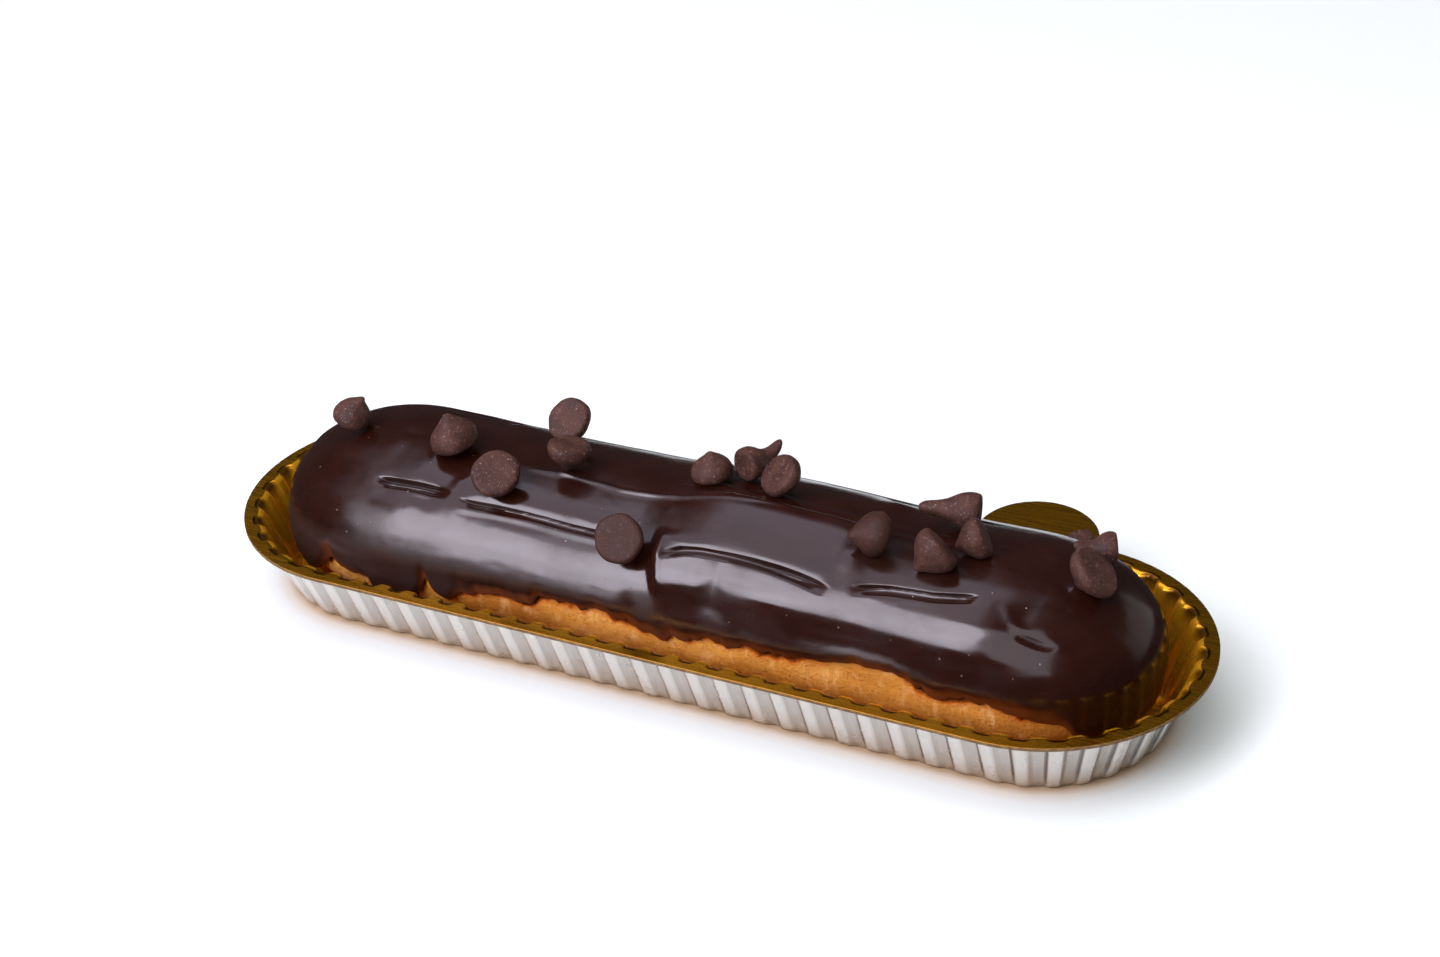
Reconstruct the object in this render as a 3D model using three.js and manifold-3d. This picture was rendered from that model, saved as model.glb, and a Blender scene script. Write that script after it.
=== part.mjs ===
// A chocolate eclair in its foil-board boat tray, with chocolate chips on the icing.
// Millimetres, +Z up. The origin is the middle of the tray's underside, +X runs along the eclair.
import * as THREE from 'three';
import { mergeVertices } from 'three/addons/utils/BufferGeometryUtils.js';
import Module from 'manifold-3d';

const wasm = await Module();
wasm.setup();

// Driving dimensions of the tray, a pressed board boat with a flat rim and one lifting tab.
const TRAY_LENGTH = 150;
const TRAY_WIDTH = 48;
const TRAY_HEIGHT = 11.5;
const BOARD = 0.5;
const FOOT_RADIUS = 18.2;
const WALL_TOP_RADIUS = 21.9;
const FOOT_ROUND = 1.3;
const SHOULDER = 0.6;
const PLEAT_DEPTH = 0.8;
const PLEATS_PER_SIDE = 24;
const PLEATS_PER_END = 14;
const TAB_RADIUS = 9;
const TAB_X = 42;

// Driving dimensions of the eclair, measured over its icing.
const GAP = 0.3;
const ECLAIR_X = -0.5;
const ECLAIR_LENGTH = 137;
const ECLAIR_HALF_WIDTH = 17.2;
const ECLAIR_END = 21.2;
const WAIST_Z = 11.6;
const CROWN = 12.5;
const ICING = 1.2;
const EDGE_BEAD = 0.2;
const CREASE_DEPTH = 0.5;
const CREASE_HALF_ANGLE = 4;
const SWELL = 0.2;
const SWELL_WAVE = 55;
const OVERRUN = 0.35;
const OVERRUN_STEP = [-2.5, 0.5];
const OVERRUN_FADE = [6, 30];
const ROUNDNESS = 2.1;
const BELLY_ROUNDNESS = 3.2;

// Faces along each straight side and round each end of the eclair.
const SIDE_CUTS = 24;
const END_CUTS = 16;

// Where the icing stops, as [x, latitude in degrees], on the front and on the back.
// Latitude 0 is the eclair's waist, 90 its crown and -90 its underside.
const FRONT_EDGE = [
  [-68, -36], [-62, -30], [-53, -10], [-44, -26], [-36, -9], [-31, -17], [-25, -13], [-18, 2],
  [-7, 6], [2.3, -3], [8, 4], [35, 7], [42, 0], [50, 0], [56, -4], [65, -30], [68, -36],
];
const BACK_EDGE = [
  [-68, -36], [-52, -22], [-38, -6], [-22, -14], [-4, 2], [12, -6], [30, 4], [46, -8],
  [60, -28], [68, -36],
];

// The crease that the spatula left along the front of the crown, as [x, latitude], and the
// stretches of x where it is open.
const CREASE_LINE = [
  [-47, 50], [-34, 51], [-10, 50], [0, 42], [4, 50], [12, 54], [23, 46], [27, 46], [41, 55],
  [50, 54],
];
const CREASE_OPEN = [[-46, -33], [-31, -9], [1, 24], [26, 50]];

// Chips in order from the left end: where each lies, which way its tip points as heading and
// pitch in degrees, its radius and height, and how far its tip curls upwards. Most are plump,
// and the drawn ones were pulled out to a long tip as they were dropped.
const CHIPS = [
  { x: -56.5, y: -1.6, heading: 25, pitch: 72, radius: 2.9, height: 4.4, curl: 1.0 },
  { x: -38.2, y: -3.1, heading: 190, pitch: 77, radius: 3.5, height: 5.2, curl: 0 },
  { x: -27.8, y: -8.6, heading: 122, pitch: -55, radius: 3.5, height: 3.9, curl: 0 },
  { x: -24.3, y: 7.7, heading: 86, pitch: -45, radius: 3.3, height: 4.2, curl: 0 },
  { x: -19.6, y: -1.7, heading: 229, pitch: -77, radius: 3.1, height: 4.2, curl: 0 },
  { x: -5.2, y: -13.6, heading: 102, pitch: -44, radius: 3.5, height: 3.7, curl: 0 },
  { x: 1.0, y: 2.9, heading: 180, pitch: 85, radius: 3.1, height: 3.9, curl: 0 },
  { x: 7.1, y: 5.7, heading: 62, pitch: -4, radius: 2.5, height: 6.7, curl: 1.9, drawn: true },
  { x: 12.4, y: 2.8, heading: 49, pitch: -45, radius: 3.2, height: 4.0, curl: 0 },
  { x: 28.9, y: -5.7, heading: 217, pitch: 25, radius: 3.0, height: 4.8, curl: -1.3 },
  { x: 38.2, y: -6.5, heading: 219, pitch: -38, radius: 3.2, height: 5.1, curl: 0 },
  { x: 42.3, y: -2.1, heading: 204, pitch: -24, radius: 2.8, height: 4.4, curl: 0 },
  { x: 37.3, y: 4.3, heading: 194, pitch: 2, radius: 2.7, height: 8.6, curl: 0, drawn: true },
  { x: 50.8, y: 18.3, heading: 90, pitch: 20, radius: 2.5, height: 3.9, curl: 0 },
  { x: 57.3, y: 5.2, heading: 206, pitch: 2, radius: 2.2, height: 5.8, curl: 0.7, drawn: true },
  { x: 58.6, y: -2.2, heading: 189, pitch: -50, radius: 3.6, height: 4.2, curl: 0 },
];
const CHIP_SIDES = 12;

// A tip starts to curl at this share of its chip's height, and x and y above place the point
// of the axis at the other share.
const CURL_START = 0.45;
const CHIP_MIDDLE = 0.4;

// Profiles of a plump and a drawn chip from the middle of the flat base to the tip, as shares
// of radius and height.
const CHIP_PROFILE = [
  [0, 0], [0.88, 0], [1, 0.14], [0.93, 0.42], [0.62, 0.68], [0.27, 0.88], [0, 1],
];
const DRAWN_PROFILE = [
  [0, 0], [0.88, 0], [1, 0.12], [0.95, 0.3], [0.66, 0.48], [0.44, 0.66], [0.36, 0.86], [0, 1],
];

const TURN = Math.PI / 180;

// A value that runs smoothly through [position, value] points.
function valueAt(points, position) {
  if (position <= points[0][0]) return points[0][1];
  for (let i = 1; i < points.length; i += 1) {
    const [from, low] = points[i - 1];
    const [to, high] = points[i];
    if (position <= to) return low + (high - low) * THREE.MathUtils.smoothstep(position, from, to);
  }
  return points[points.length - 1][1];
}

// One walk round a stadium, anticlockwise from its left end, in shares of each side and end.
// A stop holds its point on the straight core line and the outward direction there.
function walkStadium(halfCore, sideShares, endShares) {
  const front = sideShares.map((share) => ({ x: halfCore * (2 * share - 1), nx: 0, ny: -1 }));
  const back = sideShares.map((share) => ({ x: halfCore * (1 - 2 * share), nx: 0, ny: 1 }));
  const end = (x, startAngle) => endShares.map((share) => {
    const angle = startAngle + Math.PI * share;
    return { x, nx: Math.cos(angle), ny: Math.sin(angle) };
  });
  return [...front, ...end(halfCore, -Math.PI / 2), ...back, ...end(-halfCore, Math.PI / 2)];
}

// A closed body through rings of equal length. Its first and last rings lie on the core line.
function loft(rings) {
  const count = rings[0].length;
  const positions = rings.flat(2);
  const index = [];
  for (let i = 0; i + 1 < rings.length; i += 1) {
    for (let j = 0; j < count; j += 1) {
      const next = (j + 1) % count;
      const a = i * count + j;
      const b = i * count + next;
      const c = a + count;
      const d = b + count;
      index.push(a, b, d, a, d, c);
    }
  }
  const geometry = new THREE.BufferGeometry();
  geometry.setAttribute('position', new THREE.Float32BufferAttribute(positions, 3));
  geometry.setIndex(index);
  return weld(geometry);
}

// Shared corners become one vertex, and triangles that have lost their area are dropped.
function weld(geometry) {
  geometry.deleteAttribute('normal');
  geometry.deleteAttribute('uv');
  const merged = mergeVertices(geometry, 1e-4);
  const index = merged.getIndex().array;
  const kept = [];
  for (let i = 0; i < index.length; i += 3) {
    const [a, b, c] = [index[i], index[i + 1], index[i + 2]];
    if (a !== b && b !== c && c !== a) kept.push(a, b, c);
  }
  merged.setIndex(kept);
  return merged;
}

function toSolid(geometry) {
  const vertProperties = Float32Array.from(geometry.getAttribute('position').array);
  const triVerts = Uint32Array.from(geometry.getIndex().array);
  return new wasm.Manifold(new wasm.Mesh({ numProp: 3, vertProperties, triVerts }));
}

function fromSolid(solid) {
  const { vertProperties, triVerts } = solid.getMesh();
  const geometry = new THREE.BufferGeometry();
  geometry.setAttribute('position', new THREE.Float32BufferAttribute(vertProperties, 3));
  geometry.setIndex(Array.from(triVerts));
  return geometry;
}

// ---- Tray ----

// A pleat runs from the middle of one ridge to the next: it folds down into a valley and back up.
const PLEAT_CUTS = [{ share: 0.16, side: 1 }, { share: 0.34, side: -1 },
  { share: 0.66, side: -1 }, { share: 0.84, side: 1 }];

function pleatShares(count) {
  const shares = [];
  for (let pleat = 0; pleat < count; pleat += 1) {
    PLEAT_CUTS.forEach((cut) => shares.push((pleat + cut.share) / count));
  }
  return shares;
}

function trayGeometry() {
  const rimRadius = TRAY_WIDTH / 2;
  const halfCore = TRAY_LENGTH / 2 - rimRadius;
  const stops = walkStadium(halfCore, pleatShares(PLEATS_PER_SIDE), pleatShares(PLEATS_PER_END));
  const ring = (radius, z, pleat = 0) => stops.map((stop, i) => {
    const out = radius + PLEAT_CUTS[i % PLEAT_CUTS.length].side * pleat / 2;
    return [stop.x + stop.nx * out, stop.ny * out, z];
  });
  const flangeZ = TRAY_HEIGHT - BOARD;
  const slope = (WALL_TOP_RADIUS - FOOT_RADIUS) / (flangeZ - FOOT_ROUND);
  const innerRadius = (z) => FOOT_RADIUS + slope * (z - FOOT_ROUND) - BOARD;
  const floorRound = BOARD + FOOT_ROUND;
  return loft([
    ring(0, 0),
    ring(FOOT_RADIUS - FOOT_ROUND, 0, PLEAT_DEPTH / 2),
    ring(FOOT_RADIUS, FOOT_ROUND, PLEAT_DEPTH),
    ring(WALL_TOP_RADIUS, flangeZ, PLEAT_DEPTH),
    ring(rimRadius, flangeZ),
    ring(rimRadius, TRAY_HEIGHT),
    ring(innerRadius(TRAY_HEIGHT) + SHOULDER, TRAY_HEIGHT, PLEAT_DEPTH),
    ring(innerRadius(TRAY_HEIGHT - SHOULDER), TRAY_HEIGHT - SHOULDER, PLEAT_DEPTH),
    ring(innerRadius(floorRound), floorRound, PLEAT_DEPTH),
    ring(innerRadius(floorRound) - FOOT_ROUND, BOARD, PLEAT_DEPTH / 2),
    ring(0, BOARD),
  ]);
}

// The half-round lifting tab is cut from the same board and stays in the plane of the rim.
function tabGeometry() {
  const rootY = TRAY_WIDTH / 2 - 1;
  const outline = new THREE.Shape();
  outline.moveTo(TAB_X - TAB_RADIUS, rootY);
  outline.lineTo(TAB_X + TAB_RADIUS, rootY);
  outline.absarc(TAB_X, TRAY_WIDTH / 2, TAB_RADIUS, 0, Math.PI, false);
  outline.closePath();
  const settings = { depth: BOARD, bevelEnabled: false, curveSegments: 24 };
  const plate = new THREE.ExtrudeGeometry(outline, settings);
  plate.translate(0, 0, TRAY_HEIGHT - BOARD);
  return weld(plate);
}

// ---- Eclair ----

const halfCore = ECLAIR_LENGTH / 2 - ECLAIR_END;

function evenShares(count) {
  return Array.from({ length: count }, (_, i) => i / count);
}

const eclairStops = walkStadium(halfCore, evenShares(SIDE_CUTS), evenShares(END_CUTS));

// The belly reaches down so that the bare choux stands one gap above the tray's floor.
const BELLY = WAIST_Z - BOARD - GAP + ICING + GAP;

function signedPower(value, power) {
  return Math.sign(value) * Math.abs(value) ** power;
}

// Slow swelling along the bake, and the step where the second stroke of icing ran over the first.
function growth(x, latitude) {
  const swell = SWELL * Math.sin(2 * Math.PI * x / SWELL_WAVE + 0.5);
  const rise = THREE.MathUtils.smoothstep(x, ...OVERRUN_STEP);
  const fade = 1 - THREE.MathUtils.smoothstep(x, ...OVERRUN_FADE);
  return swell + OVERRUN * rise * fade * THREE.MathUtils.smoothstep(latitude, -5, 20);
}

// The point of the eclair's skin at one stop and latitude, sunk by a depth below the icing.
function skinPoint(stop, latitude, depth) {
  const roundness = latitude < 0 ? BELLY_ROUNDNESS : ROUNDNESS;
  const reach = signedPower(Math.cos(latitude * TURN), 2 / roundness);
  const rise = signedPower(Math.sin(latitude * TURN), 2 / roundness);
  const along = reach * signedPower(stop.nx, 2 / ROUNDNESS);
  const side = reach * signedPower(stop.ny, 2 / ROUNDNESS);
  const x = ECLAIR_X + stop.x + along * ECLAIR_END;
  const inset = depth - growth(x, latitude) * THREE.MathUtils.smoothstep(latitude, -60, -10);
  const height = latitude < 0 ? BELLY : CROWN;
  return [
    ECLAIR_X + stop.x + along * (ECLAIR_END - inset),
    side * (ECLAIR_HALF_WIDTH - inset),
    WAIST_Z + rise * (height - inset),
  ];
}

function edgeLatitude(stop) {
  const x = ECLAIR_X + stop.x + stop.nx * ECLAIR_END;
  const share = (1 + stop.ny) / 2;
  return valueAt(FRONT_EDGE, x) * (1 - share) + valueAt(BACK_EDGE, x) * share;
}

// The choux is solid, and its rows above the icing's edge are shared by the icing's inner face.
const UNDERSIDE_ROWS = [-90, -78, -66, -54, -42];
const COVERED_ROWS = [-30, -15, 0, 15, 30, 45, 60, 75, 90];

function chouxGeometry() {
  return loft([...UNDERSIDE_ROWS, ...COVERED_ROWS].map((latitude) => (
    eclairStops.map((stop) => skinPoint(stop, latitude, ICING + GAP)))));
}

// How far the crease is open at a stop, from 0 to 1. It runs only along the front.
function creaseOpening(stop) {
  if (stop.ny > -0.9) return 0;
  const x = ECLAIR_X + stop.x + stop.nx * ECLAIR_END;
  return CREASE_OPEN.some(([from, to]) => x > from && x < to) ? 1 : 0;
}

function creaseLatitude(stop) {
  return valueAt(CREASE_LINE, ECLAIR_X + stop.x + stop.nx * ECLAIR_END);
}

// The icing is a thin cap over the choux: up its inner face, round the bead of its edge, and
// over its outer face with the crease pressed in.
function icingGeometry() {
  const inner = [...COVERED_ROWS].reverse().concat(-90).map((latitude) => (
    eclairStops.map((stop) => skinPoint(stop, Math.max(latitude, edgeLatitude(stop)), ICING))));
  const lip = eclairStops.map((stop) => skinPoint(stop, edgeLatitude(stop) - 2, ICING / 2));
  const flankSteps = [0, 0.14, 0.35, 0.56, 0.78, 1];
  const flank = flankSteps.map((share, i) => eclairStops.map((stop) => {
    const edge = edgeLatitude(stop);
    const top = creaseLatitude(stop) - CREASE_HALF_ANGLE;
    const bead = [0, -EDGE_BEAD, 0, 0, 0, 0][i];
    return skinPoint(stop, edge + (top - edge) * share, bead);
  }));
  const groove = eclairStops.map((stop) => (
    skinPoint(stop, creaseLatitude(stop), CREASE_DEPTH * creaseOpening(stop))));
  const crownSteps = [0, 0.25, 0.5, 0.75, 1];
  const crown = crownSteps.map((share) => eclairStops.map((stop) => {
    const start = creaseLatitude(stop) + CREASE_HALF_ANGLE;
    return skinPoint(stop, start + (90 - start) * share, 0);
  }));
  return loft([...inner, lip, ...flank, groove, ...crown]);
}

// ---- Chips ----

// A dropped chip: flat base at z = 0, tip up the z axis and leaning towards +y where it curls.
function chipGeometry(chip) {
  const outline = chip.drawn ? DRAWN_PROFILE : CHIP_PROFILE;
  const profile = outline.map(([r, z]) => new THREE.Vector2(r * chip.radius, z * chip.height));
  const geometry = weld(new THREE.LatheGeometry(profile, CHIP_SIDES));
  geometry.rotateX(Math.PI / 2);
  const place = geometry.getAttribute('position');
  for (let i = 0; i < place.count; i += 1) {
    const along = Math.max(place.getZ(i) / chip.height - CURL_START, 0) / (1 - CURL_START);
    place.setY(i, place.getY(i) + chip.curl * along ** 2);
  }
  geometry.translate(0, 0, -CHIP_MIDDLE * chip.height);
  return geometry;
}

// Turns a chip's axis to its heading and pitch, with its curl on the upper side.
function chipRotation(chip) {
  const level = Math.cos(chip.pitch * TURN);
  const tip = new THREE.Vector3(
    level * Math.cos(chip.heading * TURN),
    level * Math.sin(chip.heading * TURN),
    Math.sin(chip.pitch * TURN),
  );
  const steep = Math.abs(tip.z) > 0.95;
  const up = steep ? new THREE.Vector3(tip.x, tip.y, 0).normalize() : new THREE.Vector3(0, 0, 1);
  up.addScaledVector(tip, -up.dot(tip)).normalize();
  const across = new THREE.Vector3().crossVectors(up, tip);
  return new THREE.Matrix4().makeBasis(across, up, tip);
}

// Below zero inside the icing's outer face, with the skin moved out by a clearance.
function insideSkin(x, y, z) {
  const lift = (z - WAIST_Z) / CROWN;
  const latitude = Math.asin(THREE.MathUtils.clamp(signedPower(lift, ROUNDNESS / 2), -1, 1)) / TURN;
  const clearance = GAP + growth(x, latitude);
  const past = Math.max(Math.abs(x - ECLAIR_X) - halfCore, 0) / (ECLAIR_END + clearance);
  const side = Math.abs(y) / (ECLAIR_HALF_WIDTH + clearance);
  const rise = Math.abs(z - WAIST_Z) / (CROWN + clearance);
  return past ** ROUNDNESS + side ** ROUNDNESS + rise ** ROUNDNESS - 1;
}

// Lowers a turned chip straight down until it would touch the icing.
function restingHeight(chip, geometry) {
  const turned = geometry.clone().applyMatrix4(chipRotation(chip));
  const place = turned.getAttribute('position');
  let low = WAIST_Z;
  let high = WAIST_Z + CROWN + chip.height + chip.radius;
  while (high - low > 0.001) {
    const middle = (low + high) / 2;
    let clear = true;
    for (let i = 0; i < place.count && clear; i += 1) {
      clear = insideSkin(place.getX(i) + chip.x, place.getY(i) + chip.y, place.getZ(i) + middle) > 0;
    }
    if (clear) high = middle;
    else low = middle;
  }
  return high;
}

// ---- Assembly ----

const foil = new THREE.MeshStandardMaterial({ color: '#b8923a', roughness: 0.3, metalness: 0.9 });
const crust = new THREE.MeshStandardMaterial({ color: '#c4813c', roughness: 0.75, metalness: 0 });
const glaze = new THREE.MeshStandardMaterial({ color: '#2c1712', roughness: 0.22, metalness: 0 });
const chocolate = new THREE.MeshStandardMaterial({ color: '#5a3c3a', roughness: 0.6, metalness: 0 });

const group = new THREE.Group();

function addPiece(name, geometry, material) {
  const mesh = new THREE.Mesh(geometry, material);
  mesh.name = name;
  group.add(mesh);
  return mesh;
}

addPiece('tray', fromSolid(toSolid(trayGeometry()).add(toSolid(tabGeometry()))), foil);
addPiece('choux', chouxGeometry(), crust);
addPiece('icing', icingGeometry(), glaze);
CHIPS.forEach((chip, i) => {
  const geometry = chipGeometry(chip);
  const mesh = addPiece(`chip_${String(i + 1).padStart(2, '0')}`, geometry, chocolate);
  mesh.position.set(chip.x, chip.y, restingHeight(chip, geometry));
  mesh.quaternion.setFromRotationMatrix(chipRotation(chip));
});

export default group;
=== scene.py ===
import math

import bmesh
import bpy
import numpy as np
from mathutils import Matrix, Vector, noise
from mathutils.bvhtree import BVHTree


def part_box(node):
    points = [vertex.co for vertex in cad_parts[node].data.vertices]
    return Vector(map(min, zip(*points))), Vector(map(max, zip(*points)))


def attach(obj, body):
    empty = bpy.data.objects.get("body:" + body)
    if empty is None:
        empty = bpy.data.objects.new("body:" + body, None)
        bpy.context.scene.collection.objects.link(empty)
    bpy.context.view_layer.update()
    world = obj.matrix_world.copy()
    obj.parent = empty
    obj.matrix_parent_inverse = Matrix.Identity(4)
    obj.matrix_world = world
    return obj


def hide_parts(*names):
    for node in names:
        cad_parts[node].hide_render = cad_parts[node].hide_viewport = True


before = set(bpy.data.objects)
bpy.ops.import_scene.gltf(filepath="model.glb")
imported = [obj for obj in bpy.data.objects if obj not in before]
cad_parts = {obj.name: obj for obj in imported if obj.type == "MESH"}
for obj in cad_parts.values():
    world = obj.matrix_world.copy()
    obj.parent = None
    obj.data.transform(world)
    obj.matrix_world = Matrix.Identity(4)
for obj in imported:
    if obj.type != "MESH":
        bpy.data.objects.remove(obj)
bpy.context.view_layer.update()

# ---- Foil-board tray ----
# A boat pressed from half-millimetre board with gold foil on its inside and silver foil outside.
# The die folds the wall into radial pleats that die out in the flat rim, and the lifting tab is
# cut from the same board.

# Sizes are in millimetres, and MM is one of them in metres. Heights are measured from the table.
MM = 0.001
BOARD = 0.5
RIM_RADIUS = 24.0
RIM_Z = 11.5
RIM_UNDERSIDE = RIM_Z - BOARD
# Half the straight length between the tray's two round ends.
TRAY_HALF_CORE = 51.0
FOOT_RADIUS = 18.2
FOOT_ROUND = 1.3
WALL_TOP_RADIUS = 21.9
WALL_SLOPE = (WALL_TOP_RADIUS - FOOT_RADIUS) / (RIM_UNDERSIDE - FOOT_ROUND)
PLEATS_PER_SIDE = 24
PLEATS_PER_END = 14
PLEAT_DEPTH = 0.8
# One pleat from ridge to ridge as (share of its width, offset from the middle of the fold, how
# much painted shadow darkens it). Painted shadow runs as dark lines along the sharp folds, more
# on one side.
PLEAT_FOLD = [
    (0.00, 1.0, 0), (0.08, 1.0, 0), (0.145, 0.98, 0), (0.18, 0.78, 0), (0.25, 0.0, 0.4),
    (0.32, -0.78, 0), (0.355, -0.98, 0), (0.43, -1.0, 0), (0.50, -1.0, 0), (0.57, -1.0, 0),
    (0.645, -0.98, 0), (0.68, -0.78, 0.6), (0.75, 0.0, 1.0), (0.82, 0.78, 0), (0.855, 0.98, 0),
    (0.92, 1.0, 0),
]
TAB_X = 42.0
TAB_RADIUS = 9.0
SCORE_HEIGHT = 0.2


def linear(colour):
    """An sRGB hex colour as a linear RGBA value."""
    channels = [int(colour[i:i + 2], 16) / 255 for i in (1, 3, 5)]
    curve = [c / 12.92 if c <= 0.04045 else ((c + 0.055) / 1.055) ** 2.4 for c in channels]
    return (*curve, 1.0)


def add(tree, kind, inputs=(), stops=(), **settings):
    """Adds a shader node with its settings, its inputs and the stops of a ramp. Inputs go by name,
    or in order as a list. Each is a number, a hex colour, or a node or socket to link."""
    made = tree.nodes.new("ShaderNode" + kind)
    for key, value in settings.items():
        setattr(made, key, value)
    sockets = made.inputs
    if not isinstance(inputs, dict):
        sockets = [socket for socket in made.inputs if socket.enabled]
        inputs = dict(enumerate(inputs))
    for key, value in inputs.items():
        if isinstance(value, bpy.types.Node):
            value = next(output for output in value.outputs if output.enabled)
        if isinstance(value, bpy.types.NodeSocket):
            tree.links.new(value, sockets[key])
        else:
            sockets[key].default_value = linear(value) if isinstance(value, str) else value
    for _ in stops[2:]:
        made.color_ramp.elements.new(0.5)
    for number, (position, colour) in enumerate(stops):
        made.color_ramp.elements[number].position = position
        made.color_ramp.elements[number].color = linear(colour)
    return made


def surface(name, build):
    """A material. build(tree) adds its nodes and gives back the shader."""
    material = bpy.data.materials.new(name)
    material.use_nodes = True
    tree = material.node_tree
    tree.nodes.clear()
    add(tree, "OutputMaterial", {"Surface": build(tree)})
    return material


def every(size):
    """A texture's scale for features about size millimetres wide."""
    return 1 / (size * MM)


def smooth(value, low, high):
    """0 below low and 1 above high, with a soft run between."""
    t = np.clip((value - low) / (high - low), 0, 1)
    return t * t * (3 - 2 * t)


def lumps(points, size, seed):
    """Perlin noise at each point, with features about size millimetres wide."""
    flat = np.asarray(points, float).reshape(-1, 3) / size + seed * 17.31
    values = np.array([noise.noise(p) for p in flat.tolist()])
    return values.reshape(np.asarray(points).shape[:-1])


def walk(half_core, side_shares, end_shares, back_shares=None):
    """The walk round a stadium: core point and outward direction at each stop, from the left
    end along the front, round the right end, back, and round the left end."""
    back_shares = side_shares if back_shares is None else back_shares
    front = [(half_core * (2 * s - 1), 0.0, -1.0) for s in side_shares]
    back = [(half_core * (1 - 2 * s), 0.0, 1.0) for s in back_shares]
    right = [(half_core, math.sin(math.pi * s), -math.cos(math.pi * s)) for s in end_shares]
    left = [(-half_core, -math.sin(math.pi * s), math.cos(math.pi * s)) for s in end_shares]
    return np.array(front + right + back + left).T


def piece(name, mesh, materials):
    """Welds a mesh, shades it smooth and puts it in the scene on the fixed body."""
    work = bmesh.new()
    work.from_mesh(mesh)
    bmesh.ops.remove_doubles(work, verts=work.verts, dist=1e-7)
    work.to_mesh(mesh)
    work.free()
    mesh.polygons.foreach_set("use_smooth", [True] * len(mesh.polygons))
    for material in materials:
        mesh.materials.append(material)
    made = bpy.data.objects.new(name, mesh)
    bpy.context.scene.collection.objects.link(made)
    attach(made, "root")
    return made


def skinned(name, rows, materials, bands=None, values=None, closed=True):
    """A piece made of quads between rows of points in millimetres, each row a ring if closed.
    bands gives the material of each gap between rows, and values what the vertices carry."""
    rows = np.asarray(rows, float)
    grid = np.arange(rows.shape[0] * rows.shape[1]).reshape(rows.shape[:2])
    if closed:
        grid = np.hstack([grid, grid[:, :1]])
    quads = np.stack([grid[:-1, :-1], grid[:-1, 1:], grid[1:, 1:], grid[1:, :-1]], axis=-1)
    mesh = bpy.data.meshes.new(name)
    mesh.from_pydata((rows.reshape(-1, 3) * MM).tolist(), [], quads.reshape(-1, 4).tolist())
    if bands is not None:
        each = np.repeat(bands, quads.shape[1]).astype(np.int32)
        mesh.polygons.foreach_set("material_index", each)
    for key, numbers in (values or {}).items():
        layer = mesh.attributes.new(key, "FLOAT", "POINT")
        layer.data.foreach_set("value", np.asarray(numbers, np.float32).ravel())
    return piece(name, mesh, materials)


def silver_foil(tree):
    """Rolled aluminium foil, a little matt from the press: it mirrors the room in soft bands.
    Painted shading makes it bright on the pleats' ridges and darker in their valleys, painted shadow
    makes it dark along the sharp folds, and painted shade darkens and warms it by the table."""
    place = add(tree, "TexCoord").outputs["Object"]
    height = add(tree, "SeparateXYZ", [place]).outputs["Z"]
    fold = add(tree, "Attribute", attribute_name="fold").outputs["Fac"]
    crease = add(tree, "Attribute", attribute_name="crease").outputs["Fac"]
    dents = add(tree, "TexNoise", {"Vector": place, "Scale": every(3.5), "Roughness": 0.35})
    # Painted shading: the pleats' ridges lighter and their valleys darker.
    pleat = add(tree, "ValToRGB", [add(tree, "MapRange", [fold, -1, 1, 0, 1])], stops=[
        (0.0, "#c3bfba"), (0.45, "#cbc7c2"), (0.8, "#dcd8d3"),
    ])
    # Painted shadow darkens the foil along the sharp folds.
    fold_shadow_amount = add(tree, "MapRange", [crease, 0.25, 1.0, 0, 0.85])
    fold_shadowed = add(tree, "Mix", [fold_shadow_amount, pleat, "#3f3833"], data_type="RGBA")
    # Painted shade darkens and warms the foil within 5 mm of the table.
    painted_foot_shade = add(tree, "MapRange", [height, 0, 5 * MM, 0.3, 0])
    return add(tree, "BsdfPrincipled", {
        "Base Color": add(tree, "Mix", [painted_foot_shade, fold_shadowed, "#83776a"], data_type="RGBA"),
        "Metallic": 1.0,
        "Roughness": add(tree, "MapRange", [dents, 0.3, 0.7, 0.26, 0.33]),
        "Normal": add(tree, "Bump", {"Height": dents, "Distance": 0.02 * MM}),
    })


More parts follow.
